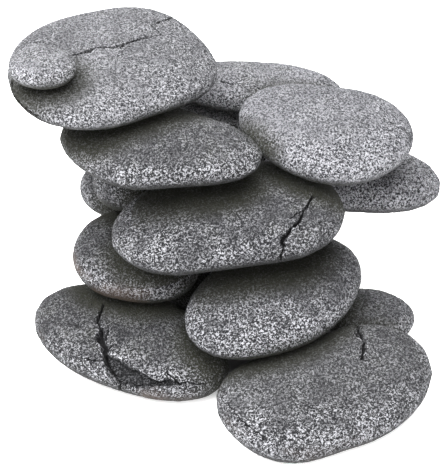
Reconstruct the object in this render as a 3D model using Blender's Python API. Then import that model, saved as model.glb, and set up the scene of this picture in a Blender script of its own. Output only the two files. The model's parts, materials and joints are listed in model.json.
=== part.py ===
"""A dry-stacked heap of flat basalt massage stones, each one a separate solid.

Units are metres and +Z is up. The heap stands on Z = 0 with the middle of its
bounding box on the Z axis. Every stone is a convex pebble. The lowest ones stand on
worn flats. Each of the others is lowered onto what is already laid and rocked a
little until its middle is as low as it can get, so the heap settles again when any
size is changed.
"""

import math

import bmesh
import bpy
import numpy as np

# Fits between stones
CONTACT_GAP = 0.0004  # left between two stones that bear on each other, measured upwards
FOOT_WEAR = 0.0012  # how much of a ground stone's underside is worn to a flat
SLIDE_STEP = 0.0005  # a ground stone that would lie on its neighbour moves outwards in steps of this
ROCK_LIMIT = 0.6  # degrees a stone may rock away from its stated lean
ROCK_STEPS = (0.4, 0.2, 0.1)  # degrees, coarse to fine

# Form shared by all the stones
PROFILE_POWER = 2.35  # 2 is an ellipse in cross-section; more makes a flatter top and a fuller rim
CROWN_SHARE = 0.52  # part of a stone's thickness that lies above its widest line
SEGMENTS = 24  # facets round the rim
RINGS = 10  # facets from the underside to the top

# One entry for each stone, in the order they are laid.
#   length, width, thickness   the plain oval and the height of the pebble
#   outline   how far the rim stands out from the oval, every 45 degrees from its right-hand end
#   at        where its middle lies in plan, from a mark in the middle of the front edge
#   heading   turn of the long axis in degrees, seen from above
#   lean      tilt in degrees: towards the front, and towards the right
#   ground    stands on the ground
OVAL = (1.00, 1.00, 1.00, 1.00, 1.00, 1.00, 1.00, 1.00)
STONES = {
    "right_low_stone": dict(
        length=0.0505, width=0.034, thickness=0.0195, at=(0.0612, 0.0507), heading=2, lean=(0, 0),
        outline=OVAL, ground=True,
    ),
    "front_right_base_stone": dict(
        length=0.099, width=0.0585, thickness=0.0245, at=(0.0377, -0.0015), heading=21, lean=(9, 1),
        outline=(1.15, 1.15, 0.77, 1.00, 0.83, 1.00, 1.01, 1.08), ground=True,
    ),
    "front_left_base_stone": dict(
        length=0.092, width=0.0565, thickness=0.026, at=(-0.0388, 0.0328), heading=-26, lean=(2, 3),
        outline=(1.05, 0.92, 0.99, 0.99, 1.02, 1.03, 0.99, 1.02), ground=True,
    ),
    "centre_base_stone": dict(
        length=0.052, width=0.032, thickness=0.026, at=(-0.005, 0.071), heading=0, lean=(0, 0),
        outline=OVAL, ground=True,
    ),
    "rear_left_base_stone": dict(
        length=0.054, width=0.042, thickness=0.029, at=(-0.035, 0.106), heading=8, lean=(0, 0),
        outline=OVAL, ground=True,
    ),
    "rear_right_base_stone": dict(
        length=0.044, width=0.036, thickness=0.028, at=(0.028, 0.102), heading=0, lean=(0, 0),
        outline=OVAL, ground=True,
    ),
    "rear_centre_base_stone": dict(
        length=0.056, width=0.036, thickness=0.029, at=(0.004, 0.141), heading=0, lean=(0, 0),
        outline=OVAL, ground=True,
    ),
    "front_middle_stone": dict(
        length=0.0885, width=0.0575, thickness=0.024, at=(0.0215, 0.0360), heading=36, lean=(7, 0),
        outline=(1.01, 1.02, 1.00, 1.00, 0.99, 0.97, 1.01, 1.01),
    ),
    "left_middle_stone": dict(
        length=0.059, width=0.0525, thickness=0.024, at=(-0.0385, 0.061), heading=-3, lean=(6, 4),
        outline=(0.98, 0.98, 1.00, 1.02, 0.99, 1.01, 0.97, 1.05),
    ),
    "left_rear_stone": dict(
        length=0.042, width=0.038, thickness=0.022, at=(-0.046, 0.1055), heading=0, lean=(0, 0),
        outline=OVAL,
    ),
    "right_core_stone": dict(
        length=0.044, width=0.036, thickness=0.018, at=(0.028, 0.101), heading=0, lean=(0, 0),
        outline=OVAL,
    ),
    "rear_core_stone": dict(
        length=0.056, width=0.036, thickness=0.027, at=(0.016, 0.139), heading=0, lean=(0, 0),
        outline=OVAL,
    ),
    "right_overhang_stone": dict(
        length=0.0845, width=0.044, thickness=0.024, at=(0.057, 0.097), heading=-6, lean=(2, 5),
        outline=(1.01, 0.99, 1.03, 0.98, 0.97, 1.08, 0.99, 0.96),
    ),
    "left_wedge_stone": dict(
        length=0.034, width=0.028, thickness=0.026, at=(-0.042, 0.084), heading=0, lean=(0, 0),
        outline=OVAL,
    ),
    "bridge_stone": dict(
        length=0.1025, width=0.061, thickness=0.025, at=(0.0035, 0.0545), heading=8, lean=(3, -4),
        outline=(0.96, 1.05, 0.97, 0.99, 1.05, 1.08, 0.83, 1.07),
    ),
    "rear_bridge_stone": dict(
        length=0.076, width=0.039, thickness=0.024, at=(-0.021, 0.125), heading=0, lean=(0, 0),
        outline=OVAL,
    ),
    "rear_prop_stone": dict(
        length=0.044, width=0.038, thickness=0.032, at=(-0.050, 0.124), heading=0, lean=(0, 0),
        outline=OVAL,
    ),
    "top_rear_stone": dict(
        length=0.0815, width=0.033, thickness=0.020, at=(0.014, 0.125), heading=-5, lean=(-5, 1),
        outline=(1.01, 1.04, 0.96, 1.00, 1.01, 0.99, 0.99, 1.00),
    ),
    "upper_right_stone": dict(
        length=0.0835, width=0.0565, thickness=0.022, at=(0.0445, 0.085), heading=-3, lean=(5, 5),
        outline=(0.94, 1.01, 0.94, 1.02, 0.95, 0.97, 1.13, 1.04),
    ),
    "upper_left_stone": dict(
        length=0.0895, width=0.052, thickness=0.0225, at=(-0.0295, 0.0680), heading=-12, lean=(0, 2),
        outline=(1.07, 0.91, 1.04, 1.04, 0.95, 1.05, 1.07, 0.87),
    ),
    "top_left_stone": dict(
        length=0.1005, width=0.0775, thickness=0.020, at=(-0.045, 0.1015), heading=26, lean=(1, 4),
        outline=(0.79, 0.95, 0.96, 1.03, 1.04, 1.20, 1.02, 1.01),
    ),
    "perched_pebble": dict(
        length=0.0295, width=0.024, thickness=0.012, at=(-0.0753, 0.0745), heading=0, lean=(6, 0),
        outline=(0.98, 1.01, 0.99, 1.01, 1.00, 1.00, 0.99, 1.02),
    ),
}


def outline_reach(stone, angles):
    """Half-width of the outline in each direction: the oval times its smoothed outline factors."""
    half_length, half_width = stone["length"] / 2, stone["width"] / 2
    oval = 1 / np.hypot(np.cos(angles) / half_length, np.sin(angles) / half_width)
    factors = np.array(stone["outline"])
    count = len(factors)
    places = np.arange(count) * 2 * math.pi / count
    smooth = np.full_like(angles, factors.mean())
    for wave in range(1, count // 2 + 1):
        share = 1 / count if wave == count // 2 else 2 / count
        smooth += share * (factors @ np.cos(wave * places)) * np.cos(wave * angles)
        smooth += share * (factors @ np.sin(wave * places)) * np.sin(wave * angles)
    return oval * smooth


def pebble_points(stone):
    """Points of the pebble in its own frame: rings that close in towards a point at each pole."""
    crown = stone["thickness"] * CROWN_SHARE
    belly = stone["thickness"] - crown
    points = [(0, 0, crown), (0, 0, -belly)]
    for ring in range(1, RINGS):
        latitude = math.pi * (ring / RINGS - 0.5)
        inset = math.cos(latitude) ** (2 / PROFILE_POWER)
        rise = abs(math.sin(latitude)) ** (2 / PROFILE_POWER)
        height = rise * crown if latitude > 0 else -rise * belly
        angles = (np.arange(SEGMENTS) + 0.5 * (ring % 2)) * 2 * math.pi / SEGMENTS
        for angle, reach in zip(angles, outline_reach(stone, angles)):
            points.append((reach * inset * math.cos(angle), reach * inset * math.sin(angle), height))
    return np.array(points)


def turning(pitch, roll, heading):
    """Rotation matrix: turned by the heading, then leaned to the right, then to the front."""
    p, r, h = (math.radians(angle) for angle in (pitch, roll, heading))
    about_x = np.array([[1, 0, 0], [0, math.cos(p), -math.sin(p)], [0, math.sin(p), math.cos(p)]])
    about_y = np.array([[math.cos(r), 0, math.sin(r)], [0, 1, 0], [-math.sin(r), 0, math.cos(r)]])
    about_z = np.array([[math.cos(h), -math.sin(h), 0], [math.sin(h), math.cos(h), 0], [0, 0, 1]])
    return about_x @ about_y @ about_z


def hull_mesh(name, points):
    """A closed convex mesh round the points."""
    bm = bmesh.new()
    for point in points:
        bm.verts.new(point)
    made = bmesh.ops.convex_hull(bm, input=bm.verts)
    spare = {v for v in made["geom_interior"] + made["geom_unused"] if isinstance(v, bmesh.types.BMVert)}
    bmesh.ops.delete(bm, geom=list(spare), context="VERTS")
    bmesh.ops.triangulate(bm, faces=bm.faces)
    bmesh.ops.recalc_face_normals(bm, faces=bm.faces)
    mesh = bpy.data.meshes.new(name)
    bm.to_mesh(mesh)
    bm.free()
    return mesh


def body_of(mesh):
    """A convex mesh as its corners, its faces' outward normals and one point on each face."""
    corners = np.array([v.co for v in mesh.vertices])
    normals = np.array([f.normal for f in mesh.polygons])
    on_faces = np.array([mesh.vertices[f.vertices[0]].co for f in mesh.polygons])
    return corners, normals, on_faces


def placed(body, rotation, position):
    """The body turned and moved to where it lies."""
    corners, normals, on_faces = body
    return corners @ rotation.T + position, normals @ rotation.T, on_faces @ rotation.T + position


def surface_heights(places, body):
    """Heights of a convex body's upper and lower surface at each place. Off the body, upper is below lower."""
    corners, normals, on_faces = body
    offsets = np.einsum("ij,ij->i", normals, on_faces)

    def heights(side):
        across = places[:, :2] @ normals[side, :2].T
        return (offsets[side] - across) / normals[side, 2]

    return heights(normals[:, 2] > 1e-6).min(axis=1), heights(normals[:, 2] < -1e-6).max(axis=1)


def apart_in_plan(body, other):
    """True when the two bodies' bounding boxes do not meet, seen from above."""
    near, far = body[0][:, :2].min(axis=0), body[0][:, :2].max(axis=0)
    other_near, other_far = other[0][:, :2].min(axis=0), other[0][:, :2].max(axis=0)
    return bool((near > other_far).any() or (far < other_near).any())


def lift_clear(body, below):
    """How far up a body must move from where it is to lie the contact gap above the body below."""
    if apart_in_plan(body, below):
        return -math.inf
    top, bottom = surface_heights(body[0], below)
    over = top >= bottom
    needed = list(top[over] - body[0][over, 2])
    top, bottom = surface_heights(below[0], body)
    under = top >= bottom
    needed += list(below[0][under, 2] - bottom[under])
    return max(needed, default=-math.inf) + CONTACT_GAP


def ground_height(posed, stone):
    """Height at which the stone's lowest point reaches the ground, or sinks into its worn flat."""
    wear = FOOT_WEAR if stone.get("ground") else -CONTACT_GAP
    return -posed[0][:, 2].min() - wear


def settled_height(body, stone, lean, place, laid):
    """Height of the stone's middle once it is lowered onto the ground or the stones already laid."""
    posed = placed(body, turning(*lean, stone["heading"]), np.array([*place, 0.0]))
    return max([ground_height(posed, stone)] + [lift_clear(posed, other) for other in laid])


def slid_clear(body, stone, place, laid):
    """A place for a ground stone where it reaches the ground, moved outwards from its neighbours if need be."""
    if not laid:
        return place
    middle = np.mean([other[0].mean(axis=0)[:2] for other in laid], axis=0)
    outwards = (np.array(place) - middle) / np.linalg.norm(np.array(place) - middle)
    lean = stone["lean"]
    posed = placed(body, turning(*lean, stone["heading"]), np.zeros(3))
    while settled_height(body, stone, lean, place, laid) > ground_height(posed, stone) + 1e-6:
        place = tuple(np.array(place) + outwards * SLIDE_STEP)
    return place


def rocked_lean(body, stone, place, laid):
    """The lean, near the stated one, at which the stone's middle lies lowest."""
    lean = stone["lean"]
    best = settled_height(body, stone, lean, place, laid)
    for step in ROCK_STEPS:
        moved = True
        while moved:
            moved = False
            for change in ((step, 0), (-step, 0), (0, step), (0, -step)):
                trial = (lean[0] + change[0], lean[1] + change[1])
                if max(abs(trial[0] - stone["lean"][0]), abs(trial[1] - stone["lean"][1])) > ROCK_LIMIT:
                    continue
                height = settled_height(body, stone, trial, place, laid)
                if height < best - 1e-7:
                    best, lean, moved = height, trial, True
    return lean


def worn_flat(points, rotation, position):
    """The points with anything below the ground brought up to it."""
    world = points @ rotation.T + position
    world[:, 2] = np.maximum(world[:, 2], 0.0)
    return (world - position) @ rotation


def basalt(name, shade):
    """Matt grey stone."""
    material = bpy.data.materials.new(name)
    material.use_nodes = True
    shader = material.node_tree.nodes["Principled BSDF"]
    shader.inputs["Base Color"].default_value = (shade, shade, shade * 1.02, 1)
    shader.inputs["Roughness"].default_value = 0.85
    shader.inputs["Metallic"].default_value = 0.0
    return material


def lay_stone(name, stone, laid):
    """Builds one stone where it comes to rest, adds its body to those laid and returns the object."""
    points = pebble_points(stone)
    body = body_of(hull_mesh(name + "_unworn", points))
    place, lean = stone["at"], stone["lean"]
    if stone.get("ground"):
        place = slid_clear(body, stone, place, laid)
    else:
        lean = rocked_lean(body, stone, place, laid)
    rotation = turning(*lean, stone["heading"])
    position = np.array([*place, settled_height(body, stone, lean, place, laid)])
    mesh = hull_mesh(name, worn_flat(points, rotation, position))
    laid.append(placed(body_of(mesh), rotation, position))
    obj = bpy.data.objects.new(name, mesh)
    obj.rotation_mode = "ZYX"
    obj.rotation_euler = [math.radians(angle) for angle in (*lean, stone["heading"])]
    obj.location = position
    mesh.materials.append(basalt(name + "_basalt", 0.15 + 0.02 * (len(laid) % 4)))
    mesh.shade_smooth()
    bpy.context.scene.collection.objects.link(obj)
    return obj


def centre_heap(objects):
    """Moves the heap so that the middle of its bounding box is on the Z axis."""
    bpy.context.view_layer.update()
    corners = np.array([obj.matrix_world @ v.co for obj in objects for v in obj.data.vertices])
    middle = (corners.min(axis=0) + corners.max(axis=0)) / 2
    for obj in objects:
        obj.location.x -= middle[0]
        obj.location.y -= middle[1]


for leftover in list(bpy.data.objects):
    bpy.data.objects.remove(leftover)
bodies_laid = []
centre_heap([lay_stone(name, stone, bodies_laid) for name, stone in STONES.items()])
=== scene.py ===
import json
import math

import bmesh
import bpy
import numpy as np
from mathutils import Matrix, Vector, noise


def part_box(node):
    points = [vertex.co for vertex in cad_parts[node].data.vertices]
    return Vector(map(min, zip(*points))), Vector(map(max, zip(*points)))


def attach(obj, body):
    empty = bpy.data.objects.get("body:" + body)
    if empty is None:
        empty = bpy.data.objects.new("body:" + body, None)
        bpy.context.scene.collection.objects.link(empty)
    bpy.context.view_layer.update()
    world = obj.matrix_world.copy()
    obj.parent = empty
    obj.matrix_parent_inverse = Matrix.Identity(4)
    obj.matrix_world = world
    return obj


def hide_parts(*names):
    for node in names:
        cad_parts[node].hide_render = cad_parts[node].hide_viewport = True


# finished looks for the heap of basalt massage stones: every stone is remeshed finely inside its
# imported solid, weathered, cracked and given its own stone material

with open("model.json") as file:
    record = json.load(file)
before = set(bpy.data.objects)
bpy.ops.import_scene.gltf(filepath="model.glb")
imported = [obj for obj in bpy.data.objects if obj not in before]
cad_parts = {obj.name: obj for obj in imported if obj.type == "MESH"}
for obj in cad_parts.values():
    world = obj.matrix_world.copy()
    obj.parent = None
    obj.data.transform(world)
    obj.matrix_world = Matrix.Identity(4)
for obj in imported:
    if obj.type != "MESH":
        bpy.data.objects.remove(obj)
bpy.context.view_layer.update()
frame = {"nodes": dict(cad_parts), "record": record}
print("frame loaded with", len(frame["nodes"]), "stones")

mm = 0.001
groups = frame["record"]["behaviour"]["bodies"]
bodyOf = {name: body for body, members in groups.items() for name in members}


meshing = {
    "spacing": 0.62,  # mm between points on a stone that shows
    "hiddenSpacing": 1.3,  # the same inside the heap
    "rounding": 34,  # smoothing passes that take the facets off
    "fill": 0.85,  # how much of the lost skin is put back, 1 would touch the solid
    "crackReach": 2.2,  # mm round a crack where the mesh is made finer
    "crackLevels": 2,  # each level halves the spacing there
    "farUnder": 4,  # mm off the skin past which a crack line belongs to another side of the stone
    "thinnest": 0.3,  # mm, half the width of the finest crack the mesh can hold
}

# painted shade: where a stone lies against another, or under one, its colour is darkened; distances in mm
contactShadeSize = {"reach": 12.5, "overhang": 12, "overhangFade": 3}


def meshArrays(mesh):
    points = np.empty(len(mesh.vertices) * 3)
    mesh.vertices.foreach_get("co", points)
    edges = np.empty(len(mesh.edges) * 2, int)
    mesh.edges.foreach_get("vertices", edges)
    normals = np.empty(len(mesh.vertices) * 3)
    mesh.vertices.foreach_get("normal", normals)
    return points.reshape(-1, 3), edges.reshape(-1, 2), normals.reshape(-1, 3)


def neighbourMean(values, edges, passes):
    # every pass moves each value to the mean of its neighbours
    count = len(values)
    degree = np.bincount(edges.ravel(), minlength=count)
    flat = values.reshape(count, -1).copy()
    for _ in range(passes):
        for column in range(flat.shape[1]):
            v = flat[:, column]
            total = np.bincount(edges[:, 0], v[edges[:, 1]], count)
            total += np.bincount(edges[:, 1], v[edges[:, 0]], count)
            flat[:, column] = total / degree
    return flat.reshape(values.shape)


def facePlanes(mesh):
    normals = np.array([f.normal for f in mesh.polygons])
    anchors = np.array([mesh.vertices[f.vertices[0]].co for f in mesh.polygons])
    return normals, np.einsum("ij,ij->i", normals, anchors)


def clearance(points, planes):
    # how deep each point lies under the solid's skin
    normals, offsets = planes
    return (offsets - points @ normals.T).min(axis=1)


def remeshed(cadMesh, middle, spacing):
    # a fine, even mesh of the solid, in metres from its middle
    mesh = cadMesh.copy()
    mesh.transform(Matrix.Translation(-middle))
    carrier = bpy.data.objects.new("carrier", mesh)
    bpy.context.scene.collection.objects.link(carrier)
    voxels = carrier.modifiers.new("voxels", "REMESH")
    voxels.mode = "VOXEL"
    voxels.voxel_size = spacing * mm
    bpy.context.view_layer.update()
    fine = bpy.data.meshes.new_from_object(carrier.evaluated_get(bpy.context.evaluated_depsgraph_get()))
    planes = facePlanes(mesh)
    bpy.data.objects.remove(carrier)
    return fine, planes


def waterWorn(fine, planes):
    # takes the facets off and fills the skin back out to just inside the solid
    points, edges, _ = meshArrays(fine)
    points = neighbourMean(points, edges, meshing["rounding"])
    fine.vertices.foreach_set("co", points.ravel())
    fine.update()
    _, _, normals = meshArrays(fine)
    room = neighbourMean(clearance(points, planes), edges, meshing["rounding"])
    points += normals * (room * meshing["fill"])[:, None]
    fine.vertices.foreach_set("co", points.ravel())
    fine.update()


def noiseAt(points, size, seed):
    # smooth noise from -1 to 1 with lumps about this many mm across
    shift = Vector((seed * 7.31, seed * -3.77, seed * 5.13))
    scale = 1 / (size * mm)
    return np.array([noise.noise(Vector(p) * scale + shift) for p in points])


def jogged(points, size, amount, seed):
    # points pushed about, so that a line drawn through them comes out ragged
    shove = np.stack([noiseAt(points, size, seed + k) for k in (11, 23, 37)], axis=1)
    return points + shove * amount * mm


def distanceToLine(points, line, normals=None):
    # mm from each point to the broken line, measured along the skin where normals are given,
    # and how far along the line the nearest place is, from 0 to 1
    corners = np.array(line, float) * mm
    best = np.full(len(points), 1e9)
    along = np.zeros(len(points))
    for i, (a, b) in enumerate(zip(corners[:-1], corners[1:])):
        run = b - a
        share = np.clip((points - a) @ run / (run @ run), 0, 1)
        away = points - a - share[:, None] * run
        gap = np.linalg.norm(away, axis=1)
        if normals is not None:
            through = np.einsum("ij,ij->i", away, normals)
            alongSkin = np.linalg.norm(away - through[:, None] * normals, axis=1)
            gap = np.where(np.abs(through) > meshing["farUnder"] * mm, gap, alongSkin)
        closer = gap < best
        best[closer] = gap[closer]
        along[closer] = ((i + share) / (len(corners) - 1))[closer]
    return best / mm, along


def smoothStep(low, high, value):
    t = np.clip((value - low) / (high - low), 0, 1)
    return t * t * (3 - 2 * t)


def finerAlong(fine, lines, reach, levels):
    # cuts the faces near the lines smaller
    bm = bmesh.new()
    bm.from_mesh(fine)
    for level in range(levels):
        bm.verts.ensure_lookup_table()
        points = np.array([v.co for v in bm.verts])
        near = np.zeros(len(points), bool)
        for line in lines:
            near |= distanceToLine(points, line)[0] < reach / (1 + 0.5 * level)
        edges = [e for e in bm.edges if near[e.verts[0].index] and near[e.verts[1].index]]
        bmesh.ops.subdivide_edges(bm, edges=edges, cuts=1, use_grid_fill=True, smooth=0.0)
    bmesh.ops.triangulate(bm, faces=[f for f in bm.faces if len(f.verts) > 4])
    bm.to_mesh(fine)
    bm.free()
    fine.update()


def crackDepth(points, normals, crack, seed):
    # depth in mm of one crack, and from 0 to 1 where it is dark and where its worn lips are
    ragged = jogged(points, 2.1, crack.get("wander", 0.9), seed)
    ragged = jogged(ragged, 0.8, 0.3, seed + 1)
    gap, along = distanceToLine(ragged, crack["line"], normals)
    halfWidth = crack["width"] / 2 * (1 + 0.6 * noiseAt(points, 3.5, seed + 5))
    taper = smoothStep(0, crack.get("taper", 0.15), 1.0 - along) if crack.get("fades", True) else 1.0
    halfWidth = np.maximum(halfWidth * (0.35 + 0.65 * taper), meshing["thinnest"])
    inside = smoothStep(1.25, 0.35, gap / halfWidth)
    lip = smoothStep(halfWidth + 1.0, halfWidth + 0.3, gap) * (1 - inside)
    return crack["depth"] * inside * (0.4 + 0.6 * taper), inside, lip


def insideLoop(flat, loop):
    # signed distance in mm to a closed outline, positive inside
    count = len(loop)
    crossings = np.zeros(len(flat), bool)
    for i in range(count):
        (ax, ay), (bx, by) = loop[i], loop[(i + 1) % count]
        spans = (ay > flat[:, 1]) != (by > flat[:, 1])
        with np.errstate(divide="ignore", invalid="ignore"):
            crossX = ax + (flat[:, 1] - ay) * (bx - ax) / (by - ay)
        crossings ^= spans & (flat[:, 0] < crossX)
    closed = [(x, y, 0) for x, y in loop] + [(loop[0][0], loop[0][1], 0)]
    onPlane = np.column_stack([flat, np.zeros(len(flat))]) * mm
    gap = distanceToLine(onPlane, closed)[0]
    return np.where(crossings, gap, -gap)


def scarDepth(points, scar, seed):
    # a spalled patch: a steep edge all round a rough, slightly sunken floor
    corners = np.array(scar["outline"], float)
    middle = corners.mean(axis=0)
    axes = np.linalg.svd(corners - middle)[2]
    ragged = jogged(points, 3.0, scar["ragged"], seed) / mm - middle
    flat = ragged @ axes[:2].T
    loop = [tuple(p) for p in (corners - middle) @ axes[:2].T]
    signed = insideLoop(flat, loop)
    signed[np.abs(ragged @ axes[2]) > 9] = -9
    inside = smoothStep(-0.25, scar["edge"], signed)
    floor = 1 + 0.30 * noiseAt(points, 2.4, seed + 3) + 0.22 * noiseAt(points, 0.9, seed + 4)
    lip = smoothStep(-1.6, -0.3, signed) * (1 - inside)
    return scar["depth"] * inside * floor, inside, lip


def weather(fine, look, seed):
    # wears the stone inwards only, so that stones which touch stay clear of each other
    points, _, normals = meshArrays(fine)
    depth = look.get("dents", 0.5) * (0.5 + 0.5 * noiseAt(points, 19, seed))
    depth += look.get("lumps", 0.22) * (0.5 + 0.5 * noiseAt(points, 6, seed + 1))
    depth += look.get("pits", 0.22) * smoothStep(0.05, 0.7, noiseAt(points, 2.1, seed + 2))
    depth += 0.16 * (0.5 + 0.5 * noiseAt(points, 1.3, seed + 3))
    hollow = np.zeros(len(points))
    scarred = np.zeros(len(points))
    lips = np.zeros(len(points))
    for k, crack in enumerate(look.get("cracks", [])):
        cut, dark, lip = crackDepth(points, normals, crack, seed + 50 + k)
        lips = np.maximum(lips, 0.6 * lip)
        depth = np.maximum(depth, cut + 0.5 * depth * (dark > 0))
        hollow = np.maximum(hollow, dark)
    for k, scar in enumerate(look.get("scars", [])):
        cut, dark, lip = scarDepth(points, scar, seed + 80 + k)
        lips = np.maximum(lips, lip)
        depth = depth + cut
        scarred = np.maximum(scarred, dark)
    for place, width, deep in look.get("pocks", []):
        gap = np.linalg.norm(points / mm - np.array(place), axis=1)
        dark = smoothStep(1.2, 0.4, gap / (width / 2) + 0.3 * noiseAt(points, 1.2, seed + 7))
        depth = depth + deep * dark
        hollow = np.maximum(hollow, dark * 0.8)
    points = points - normals * (depth * mm)[:, None]
    fine.vertices.foreach_set("co", points.ravel())
    fine.update()
    return normals, hollow, scarred, lips * (1 - scarred)


def sheltered(points, middle, node):
    # painted shade mask: 1 where another stone lies against this one or hangs just over it, falling to 0 a
    # little way off
    close = np.zeros(len(points))
    placed = points + np.array(middle)
    reach = contactShadeSize["reach"] * mm
    for other, (low, high, planes) in solids.items():
        if other == node:
            continue
        beside = np.all((placed > low - reach) & (placed < high + reach), axis=1)
        if not beside.any():
            continue
        gap = -clearance(placed[beside], planes)
        lifted = placed[beside] + np.array((0, 0, contactShadeSize["overhang"] * mm))
        overhung = -clearance(lifted, planes)
        gap = np.minimum(gap, overhung + contactShadeSize["overhangFade"] * mm)
        close[beside] = np.maximum(close[beside], smoothStep(reach, 0.5 * mm, gap))
    return close


def store(mesh, name, values):
    layer = mesh.attributes.new(name, "FLOAT", "POINT")
    layer.data.foreach_set("value", np.clip(values, 0, 1).astype(np.float32))


def addNode(tree, kind, values=None, **settings):
    made = tree.nodes.new(kind)
    for key, value in settings.items():
        setattr(made, key, value)
    for key, value in (values or {}).items():
        made.inputs[key].default_value = value
    return made


def calc(tree, operation, a, b=0.0, c=0.0, clamp=False):
    made = addNode(tree, "ShaderNodeMath", operation=operation, use_clamp=clamp)
    for socket, value in zip(made.inputs, (a, b, c)):
        if isinstance(value, (int, float)):
            socket.default_value = value
        else:
            tree.links.new(value, socket)
    return made.outputs[0]


def ramp(tree, value, low, high):
    # 0 below low, 1 above high, eased between
    ends = {"From Min": low, "From Max": high}
    made = addNode(tree, "ShaderNodeMapRange", ends, interpolation_type="SMOOTHSTEP")
    tree.links.new(value, made.inputs["Value"])
    return made.outputs["Result"]


def blendColour(tree, amount, under, over):
    made = addNode(tree, "ShaderNodeMix", data_type="RGBA")
    tree.links.new(amount, made.inputs[0])
    for socket, value in ((made.inputs[6], under), (made.inputs[7], over)):
        if isinstance(value, tuple):
            socket.default_value = (*value, 1)
        else:
            tree.links.new(value, socket)
    return made.outputs[2]


def readLayer(tree, name):
    return addNode(tree, "ShaderNodeAttribute", attribute_name=name).outputs["Fac"]


# tones that all the stones share, linear
finish = {
    "pits": (0.010, 0.0102, 0.012),
    "holes": (0.014, 0.014, 0.016),
    "crust": (0.36, 0.362, 0.385),
    "olive": (0.052, 0.054, 0.043),
    "belly": (0.010, 0.010, 0.0098),
    "damp": (0.020, 0.0205, 0.0145),
    "brown": (0.085, 0.056, 0.041),
    "scar": (0.006, 0.0062, 0.007),
    "crack": (0.004, 0.004, 0.0045),
}


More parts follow.
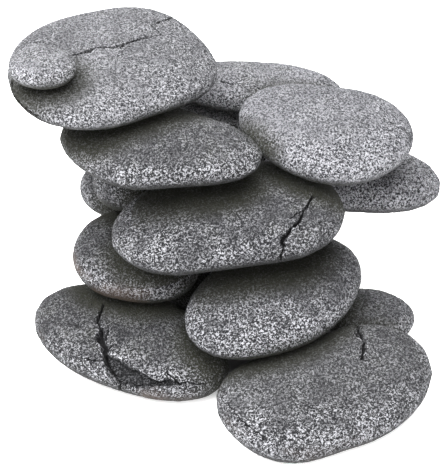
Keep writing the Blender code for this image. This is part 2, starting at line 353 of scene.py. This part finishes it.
def basalt(look, seed):
    # matt volcanic stone: cloudy grey, a crust of pale ridges with dark pits between them,
    # more of the pale crust on the worn rims, smooth underneath, with painted shade darkening the underside
    material = bpy.data.materials.new(look["node"].replace("_stone", "") + "_basalt")
    material.use_nodes = True
    tree = material.node_tree
    shader = tree.nodes["Principled BSDF"]
    shader.inputs["Specular IOR Level"].default_value = 0.14
    place = addNode(tree, "ShaderNodeTexCoord").outputs["Object"]
    offset = (seed * 0.37, seed * 0.11, seed * 0.23)  # so that no two stones share a pattern
    shift = addNode(tree, "ShaderNodeVectorMath", {1: offset}, operation="ADD")
    tree.links.new(place, shift.inputs[0])
    place = shift.outputs[0]

    def texture(kind, **values):
        settings = {}
        if "style" in values:
            settings["noise_type"] = values.pop("style")
        if "feature" in values:
            settings["feature"] = values.pop("feature")
        made = addNode(tree, kind, values, **settings)
        tree.links.new(place, made.inputs["Vector"])
        return made

    clouds = texture("ShaderNodeTexNoise", Scale=42, Detail=3, Roughness=0.55).outputs["Fac"]
    patches = texture("ShaderNodeTexNoise", Scale=110, Detail=4, Roughness=0.6).outputs["Fac"]
    crustScale = look.get("crust", 1150)
    crust = texture("ShaderNodeTexNoise", Scale=crustScale, Detail=2, Roughness=0.6, Distortion=0.7)
    crust = crust.outputs["Fac"]
    grit = texture("ShaderNodeTexNoise", Scale=2100, Detail=2, Roughness=0.6).outputs["Fac"]
    cells = texture("ShaderNodeTexVoronoi", Scale=430, Randomness=1.0).outputs["Distance"]
    bloom = readLayer(tree, "bloom")
    under = readLayer(tree, "under")
    hollow = readLayer(tree, "hollow")
    scarred = readLayer(tree, "scarred")
    damp = readLayer(tree, "sheltered")
    bare = calc(tree, "MULTIPLY_ADD", under, -0.65, 1.0)

    # the grain runs from dark pits, near 0, to pale ridges, near 1
    grain = calc(tree, "MULTIPLY_ADD", crust, 0.62, calc(tree, "MULTIPLY", grit, 0.38))
    ridges = ramp(tree, grain, 0.495, 0.58)
    pits = ramp(tree, grain, 0.505, 0.43)
    holes = ramp(tree, cells, 0.24, 0.10)

    colour = blendColour(tree, ramp(tree, clouds, 0.35, 0.65), look["shade"], look["tone"])
    worn = calc(tree, "MULTIPLY", ramp(tree, patches, 0.42, 0.70), look.get("olive", 0.3))
    colour = blendColour(tree, worn, colour, finish["olive"])
    pitting = calc(tree, "MULTIPLY_ADD", bloom, 0.35, 0.66)
    pitting = calc(tree, "MULTIPLY", pits, calc(tree, "MULTIPLY_ADD", bare, pitting, 0.14), clamp=True)
    colour = blendColour(tree, pitting, colour, look.get("pitTone", finish["pits"]))
    crusting = calc(tree, "MULTIPLY_ADD", bloom, look.get("bloom", 0.75), look.get("overallBloom", 0.46))
    patchy = calc(tree, "MULTIPLY_ADD", ramp(tree, patches, 0.32, 0.60), 0.7, 0.3)
    crusting = calc(tree, "MULTIPLY", calc(tree, "MULTIPLY", crusting, patchy), bare)
    crusted = calc(tree, "MULTIPLY", ridges, crusting, clamp=True)
    colour = blendColour(tree, crusted, colour, finish["crust"])
    # painted shade: the underside is darkened towards near black, a little less on its ridges
    belly = calc(tree, "MULTIPLY", under, calc(tree, "MULTIPLY_ADD", ridges, -0.35, 0.9))
    colour = blendColour(tree, belly, colour, finish["belly"])
    # painted shade: where another stone lies against or over this one, the colour is darkened to an olive
    # near black
    shade = calc(tree, "MULTIPLY", damp, calc(tree, "MULTIPLY_ADD", ridges, -0.2, look.get("damp", 0.98)))
    colour = blendColour(tree, shade, colour, finish["damp"])
    stain = calc(tree, "MULTIPLY", ramp(tree, clouds, 0.46, 0.66), readLayer(tree, "stain"))
    stained = calc(tree, "MULTIPLY", stain, look.get("brown", 0.0))
    colour = blendColour(tree, stained, colour, finish["brown"])
    dotted = calc(tree, "MULTIPLY", holes, calc(tree, "MULTIPLY", bare, 0.55))
    colour = blendColour(tree, dotted, colour, finish["holes"])
    broken = calc(tree, "MULTIPLY", scarred, calc(tree, "MULTIPLY_ADD", ridges, -0.18, 0.97))
    colour = blendColour(tree, broken, colour, finish["scar"])
    colour = blendColour(tree, calc(tree, "MULTIPLY", hollow, 0.97), colour, finish["crack"])
    tree.links.new(colour, shader.inputs["Base Color"])

    rough = calc(tree, "MULTIPLY_ADD", ridges, 0.10, 0.82)
    rough = calc(tree, "SUBTRACT", rough, calc(tree, "MULTIPLY", under, 0.12))
    tree.links.new(rough, shader.inputs["Roughness"])

    relief = calc(tree, "SUBTRACT", grain, calc(tree, "MULTIPLY", holes, 0.35))
    relief = calc(tree, "MULTIPLY", relief, calc(tree, "MULTIPLY_ADD", bare, 0.75, 0.25))
    bump = addNode(tree, "ShaderNodeBump", {"Strength": 1.0, "Distance": look.get("relief", 4.2) * mm})
    tree.links.new(relief, bump.inputs["Height"])
    tree.links.new(bump.outputs["Normal"], shader.inputs["Normal"])
    return material


palePits = (0.019, 0.0194, 0.0225)  # paler pits, used on the paler stones on top
stonesMade = []
solids = {}
for name, solid in frame["nodes"].items():
    low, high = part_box(name)
    solids[name] = (np.array(low), np.array(high), facePlanes(solid.data))


def makeStone(look):
    seed = len(stonesMade) + 1
    node = look["node"]
    low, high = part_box(node)
    middle = (low + high) / 2
    hidden = look.get("hidden", False)
    spacing = look.get("spacing", meshing["hiddenSpacing" if hidden else "spacing"])
    fine, planes = remeshed(frame["nodes"][node].data, middle, spacing)
    waterWorn(fine, planes)
    lines = [crack["line"] for crack in look.get("cracks", [])]
    lines += [[*scar["outline"], scar["outline"][0]] for scar in look.get("scars", [])]
    if lines:
        finerAlong(fine, lines, meshing["crackReach"], meshing["crackLevels"])
    normals, hollow, scarred, lips = weather(fine, look, seed)
    up = normals[:, 2]
    points = meshArrays(fine)[0]
    toFront = np.clip(-points[:, 1] / np.hypot(points[:, 0], points[:, 1]).clip(1e-6), 0, 1)
    height = points[:, 2] / points[:, 2].max()
    rim = smoothStep(0.90, 0.15, height + 0.25 * noiseAt(points, 14, seed + 9))
    rim *= smoothStep(-0.38, 0.05, up)
    store(fine, "bloom", (rim * (0.45 + 0.70 * toFront) + 0.8 * lips) * (1 - hollow))
    # underside mask: less crust and lower roughness there, and the painted shade on the belly
    store(fine, "under", smoothStep(-0.02, -0.55, up))
    store(fine, "hollow", hollow)
    # painted shade mask, from how close the other stones lie
    store(fine, "sheltered", sheltered(points, middle, node))
    store(fine, "scarred", scarred)
    store(fine, "stain", smoothStep(0.75, 0.1, up) * smoothStep(0.6, -0.5, normals[:, 0]))
    fine.name = node.replace("_stone", "") + "_skin"
    stone = bpy.data.objects.new(node.replace("_stone", "") + "_finished", fine)
    stone.location = middle
    bpy.context.scene.collection.objects.link(stone)
    fine.materials.clear()
    fine.materials.append(basalt(look, seed))
    fine.shade_smooth()
    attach(stone, bodyOf[node])
    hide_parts(node)
    stonesMade.append(stone)
    print("stone", seed, node, "has", len(fine.polygons), "faces")
    return stone


# the broad one on top, split across by one long crack and a step behind it
topLeft = {
    "node": "top_left_stone",
    "tone": (0.137, 0.137, 0.146), "shade": (0.101, 0.101, 0.107),
    "overallBloom": 0.66, "pitTone": palePits, "bloom": 0.42, "olive": 0.25,
    "cracks": [
        {"line": [(-19, -6, 10.5), (-12, -4, 10.5), (-8.5, -1, 10.5), (-4, 0.5, 10), (0, 0.5, 10),
                  (4, 2, 10), (7.5, 5.5, 9.5), (11.5, 7.5, 9), (15.5, 10.5, 9), (20.5, 13, 8)],
         "width": 1.35, "depth": 2.6, "wander": 0.7},
        {"line": [(16, 19.5, 8), (19.5, 25, 7), (22, 27.5, 6), (25.5, 34.5, 3)],
         "width": 1.0, "depth": 1.8, "wander": 0.7},
        {"line": [(20.5, 13, 8), (19, 16, 8), (16, 19.5, 8)],
         "width": 0.5, "depth": 0.6, "wander": 0.5},
        {"line": [(-41, 4.5, 7), (-38.5, 6.5, 7.5), (-34.5, 6.5, 9), (-29.5, 5, 9.5)],
         "width": 0.6, "depth": 0.9, "wander": 0.5},
        {"line": [(-42.5, -18, 4.5), (-41.5, -25, 3), (-39, -29, 1.5), (-33, -37, 1.5), (-28.5, -39, 0.5)],
         "width": 1.6, "depth": 2.2, "wander": 0.5},
    ],
}
makeStone(topLeft)

# the toe stone perched on its left end
pebble = {
    "node": "perched_pebble",
    "tone": (0.138, 0.138, 0.148), "shade": (0.108, 0.108, 0.114),
    "bloom": 0.95, "overallBloom": 0.6, "pitTone": palePits,
    "spacing": 0.5, "dents": 0.25, "crust": 1250, "relief": 3.0,
}
makeStone(pebble)

# the left shoulder under it
upperLeft = {
    "node": "upper_left_stone",
    "tone": (0.052, 0.052, 0.055), "shade": (0.036, 0.036, 0.039),
    "bloom": 1.0, "olive": 0.4,
}
makeStone(upperLeft)

# the right shoulder, with a hairline out to its notched right end
upperRight = {
    "node": "upper_right_stone",
    "tone": (0.166, 0.166, 0.179), "shade": (0.127, 0.127, 0.138),
    "overallBloom": 0.66, "pitTone": palePits, "bloom": 0.8, "olive": 0.2,
    "cracks": [{"line": [(23, 2, 7), (31.5, 0, 4), (37, -1, 0)], "width": 0.5, "depth": 0.7}],
    "pocks": [((37, -2, -0.5), 2.4, 0.8), ((37.5, 1.5, 0), 1.8, 0.6)],
}
makeStone(upperRight)

# the one behind the shoulders
topRear = {
    "node": "top_rear_stone",
    "tone": (0.209, 0.209, 0.226), "shade": (0.154, 0.154, 0.164),
    "overallBloom": 0.75, "pitTone": palePits, "bloom": 0.6, "olive": 0.45,
    "cracks": [
        {"line": [(-15.5, -7, 9), (-10, -9, 8.5)], "width": 0.5, "depth": 0.7},
        {"line": [(-3, -9.5, 9), (1.5, -11.5, 8)], "width": 0.5, "depth": 0.7},
    ],
    "pocks": [((15.5, -8.5, 8.5), 1.6, 0.6), ((31, -4, 6), 1.5, 0.5)],
}
makeStone(topRear)

# the rough one glimpsed below it; painted light: its tone is far paler than the other stones' and its
# painted contact shade is weak, so its face in the shaded gap reads as lit
rearBridge = {
    "node": "rear_bridge_stone",
    "tone": (0.300, 0.300, 0.312), "shade": (0.200, 0.200, 0.209), "damp": 0.2,
    "bloom": 1.0, "lumps": 0.5, "pits": 0.4, "olive": 0.4,
}
makeStone(rearBridge)

# the long one that bridges the middle, cracked near its right end
bridge = {
    "node": "bridge_stone",
    "tone": (0.045, 0.045, 0.048), "shade": (0.031, 0.031, 0.034),
    "bloom": 0.58, "olive": 0.3,
    "cracks": [
        {"line": [(36, 0, 11.5), (34, -5, 11.5), (31.5, -9.5, 11), (31, -12, 10.5), (29, -16, 10),
                  (26, -19, 9), (24.5, -22, 7.5), (22.5, -23.5, 6.5), (23, -25.5, 3.5), (22, -26.5, 0.5),
                  (22, -26, -4.5)],
         "width": 1.35, "depth": 3.0, "wander": 0.8, "fades": False},
        {"line": [(31.5, -9.5, 11), (28.5, -11.5, 11.5), (26, -14, 11)],
         "width": 0.9, "depth": 1.2, "wander": 0.6},
        {"line": [(29, -16, 10), (30, -19.5, 8.5)], "width": 0.9, "depth": 0.9, "wander": 0.5},
        {"line": [(24.5, -22, 7.5), (22.5, -21.5, 8)], "width": 0.8, "depth": 0.8, "wander": 0.4},
    ],
    "pocks": [((38.5, -14, 8.5), 2.0, 0.7)],
}
makeStone(bridge)

# the one that sticks out to the right
rightOverhang = {
    "node": "right_overhang_stone",
    "tone": (0.166, 0.166, 0.178), "shade": (0.119, 0.119, 0.129),
    "overallBloom": 0.6, "bloom": 0.9, "olive": 0.3, "lumps": 0.3,
}
makeStone(rightOverhang)

# two small ones in the shade on the left
leftWedge = {
    "node": "left_wedge_stone",
    "tone": (0.051, 0.051, 0.054), "shade": (0.036, 0.036, 0.039), "bloom": 0.6,
}
makeStone(leftWedge)

leftRear = {
    "node": "left_rear_stone",
    "tone": (0.066, 0.066, 0.071), "shade": (0.045, 0.045, 0.048), "bloom": 1.0,
}
makeStone(leftRear)

# the left one of the second layer
leftMiddle = {
    "node": "left_middle_stone",
    "tone": (0.043, 0.043, 0.046), "shade": (0.030, 0.030, 0.032),
    "bloom": 0.9, "brown": 0.55, "olive": 0.35,
}
makeStone(leftMiddle)

# the big slanting one in front
frontMiddle = {
    "node": "front_middle_stone",
    "tone": (0.049, 0.049, 0.053), "shade": (0.036, 0.036, 0.039),
    "bloom": 1.1, "olive": 0.2,
}
makeStone(frontMiddle)

# the left front one on the ground: split from top to bottom, with a patch spalled off its front
frontLeft = {
    "node": "front_left_base_stone",
    "tone": (0.038, 0.038, 0.040), "shade": (0.028, 0.028, 0.030),
    "bloom": 0.85, "olive": 0.45, "brown": 0.5,
    "cracks": [
        {"line": [(-12, 9, 13), (-13.5, 4, 13), (-14, -1, 12.5), (-12.5, -6.5, 12)],
         "width": 1.3, "depth": 2.8, "wander": 0.8, "fades": False},
        {"line": [(-12.5, -6.5, 12), (-13, -10, 11), (-11, -14.5, 10), (-10.5, -18.5, 8)],
         "width": 2.8, "depth": 4.0, "fades": False},
        {"line": [(-10.5, -18.5, 8), (-10, -22, 5.5), (-8, -25, 2.5), (-5.5, -27, -1.5), (-3.5, -27, -5)],
         "width": 1.7, "depth": 3.2, "wander": 0.7, "fades": False},
        {"line": [(-9, -6, 12), (-10, -10, 11.5), (-11.5, -12.5, 10.5)],
         "width": 0.8, "depth": 1.2, "wander": 0.5},
        {"line": [(-7.5, -14.5, 10.5), (-9, -16.5, 9.5), (-10.5, -17.5, 8.5)],
         "width": 0.9, "depth": 1.2, "wander": 0.5},
        {"line": [(-12, -20.5, 6.5), (-17, -19, 6), (-21, -17.5, 5.5)],
         "width": 0.5, "depth": 0.8, "wander": 0.5},
        {"line": [(16, -26.5, 6), (18.5, -28.5, 4.5), (22.5, -30.5, 2.5)],
         "width": 0.9, "depth": 1.4, "fades": False},
        {"line": [(22.5, -30.5, 2.5), (26.5, -29.5, 2.5), (29.5, -30, 1), (34, -28.5, 1)],
         "width": 0.8, "depth": 1.2},
    ],
    "scars": [
        {"outline": [(-11.5, -17.5, 8.5), (-9.5, -17, 9), (-7, -19, 8.5), (-1.5, -22.5, 7.5),
                     (1, -24.5, 6.5), (3.5, -25, 6.5), (7, -27, 5.5), (9, -28, 4.5), (11, -29, 4),
                     (13.5, -30, 3.5), (17, -28.5, 5), (20, -30, 3.5), (22.5, -30.5, 2.5), (18, -31.5, 1),
                     (11.5, -31, 0), (5, -30, -1.5), (-1.5, -28.5, -2.5), (-5, -27, -2.5),
                     (-7.5, -25.5, 0), (-10, -23, 4)],
         "depth": 2.3, "edge": 0.5, "ragged": 0.7},
    ],
    "pocks": [((-23, -3, 11.5), 3.0, 0.35)],
}
makeStone(frontLeft)

# the right front one, the heaviest on the ground
frontRight = {
    "node": "front_right_base_stone",
    "tone": (0.054, 0.054, 0.057), "shade": (0.039, 0.039, 0.041),
    "bloom": 1.0, "brown": 0.5, "olive": 0.25,
    "cracks": [
        {"line": [(14.5, 30, 10), (15.5, 25, 12), (16, 20.5, 12.5), (17, 17.5, 12.5), (16.5, 12.5, 12.5),
                  (15.5, 8.5, 12), (16.5, 6, 12)], "width": 1.7, "depth": 2.6, "wander": 0.8},
        {"line": [(-41.5, -13, 4.5), (-34.5, -23, 3), (-27.5, -28.5, 2)],
         "width": 0.5, "depth": 0.5, "wander": 0.8},
        {"line": [(13.5, 23.5, 12.5), (15, 20.5, 12.5), (16, 19, 12.5)],
         "width": 1.2, "depth": 1.4, "wander": 0.5},
    ],
    "pocks": [((-12, -34, 0), 2.6, 1.0), ((-27, -29.5, 1.5), 2.0, 0.7)],
}
makeStone(frontRight)

# the small one tucked in on the right
rightLow = {
    "node": "right_low_stone",
    "tone": (0.105, 0.105, 0.113), "shade": (0.071, 0.071, 0.076),
    "bloom": 0.9, "lumps": 0.45, "pits": 0.3, "olive": 0.35,
}
makeStone(rightLow)

# the stones inside and behind, which only the back and the sides show
core = {
    "tone": (0.051, 0.051, 0.054), "shade": (0.036, 0.036, 0.039), "bloom": 0.7, "hidden": True,
}
done = {stone.name for stone in stonesMade}
for name in sorted(frame["nodes"]):
    if name.replace("_stone", "") + "_finished" not in done:
        makeStone({**core, "node": name})
print("all", len(stonesMade), "stones finished")


studio = {
    "floorSize": 6.0, "floorTone": (0.90, 0.90, 0.90), "underTone": (0.12, 0.12, 0.12), "floorGlow": 0.50,
    "skyStrength": 0.27,
    "keySize": 1.9, "keyPower": 129.0, "keyAt": (-0.30, -0.12, 1.35),
    "fillSize": 1.0, "fillPower": 16.0, "fillAt": (0.25, -1.2, 1.0),
}


def makeFloor():
    mesh = bpy.data.meshes.new("studioFloor")
    half = studio["floorSize"] / 2
    corners = [(-half, -half, 0), (half, -half, 0), (half, half, 0), (-half, half, 0)]
    mesh.from_pydata(corners, [], [(0, 1, 2, 3)])
    floor = bpy.data.objects.new("studioFloor", mesh)
    bpy.context.scene.collection.objects.link(floor)
    material = bpy.data.materials.new("pale_floor")
    material.use_nodes = True
    shader = material.node_tree.nodes["Principled BSDF"]
    # painted shade: the floor is painted darker and does not glow under the heap, so the gaps between the
    # ground stones stay dark; around the heap the floor glows, painted light that washes out the heap's
    # shadows
    tree = material.node_tree
    place = addNode(tree, "ShaderNodeTexCoord").outputs["Object"]
    reach = addNode(tree, "ShaderNodeVectorMath", operation="LENGTH")
    tree.links.new(place, reach.inputs[0])
    outside = ramp(tree, reach.outputs["Value"], 0.034, 0.058)
    tone = blendColour(tree, outside, studio["underTone"], studio["floorTone"])
    tree.links.new(tone, shader.inputs["Base Color"])
    tree.links.new(calc(tree, "MULTIPLY", outside, studio["floorGlow"]), shader.inputs["Emission Strength"])
    shader.inputs["Roughness"].default_value = 0.95
    shader.inputs["Specular IOR Level"].default_value = 0.1
    shader.inputs["Emission Color"].default_value = (1, 1, 1, 1)
    mesh.materials.append(material)


def makeLamp(name, size, power, place):
    lamp = bpy.data.lights.new(name, "AREA")
    lamp.shape = "DISK"
    lamp.size = size
    lamp.energy = power
    holder = bpy.data.objects.new(name, lamp)
    holder.location = place
    towards = Vector((0, 0, 0.05)) - Vector(place)
    holder.rotation_euler = towards.to_track_quat("-Z", "Y").to_euler()
    bpy.context.scene.collection.objects.link(holder)


def makeSky():
    sky = bpy.data.worlds.new("studioSky")
    bpy.context.scene.world = sky
    sky.use_nodes = True
    background = sky.node_tree.nodes["Background"]
    background.inputs["Color"].default_value = (1, 1, 1, 1)
    background.inputs["Strength"].default_value = studio["skyStrength"]


view = {
    "aim": (-0.0025, -0.0124, 0.060),  # what the camera looks at, in metres
    "distance": 0.80,
    "elevation": 40,  # degrees above level, looking from the front
    "lens": 149.5,
}


def makeCamera():
    lens = bpy.data.cameras.new("studioCamera")
    lens.lens = view["lens"]
    lens.sensor_width = 36
    lens.sensor_fit = "HORIZONTAL"
    camera = bpy.data.objects.new("studioCamera", lens)
    lift = math.radians(view["elevation"])
    aim = Vector(view["aim"])
    camera.location = aim + view["distance"] * Vector((0, -math.cos(lift), math.sin(lift)))
    camera.rotation_euler = (math.pi / 2 - lift, 0, 0)
    bpy.context.scene.collection.objects.link(camera)
    bpy.context.scene.camera = camera


makeFloor()
makeLamp("keyLamp", studio["keySize"], studio["keyPower"], studio["keyAt"])
makeLamp("fillLamp", studio["fillSize"], studio["fillPower"], studio["fillAt"])
makeSky()
makeCamera()
bpy.context.scene.view_settings.view_transform = "Standard"
print("floor, light and camera in place")
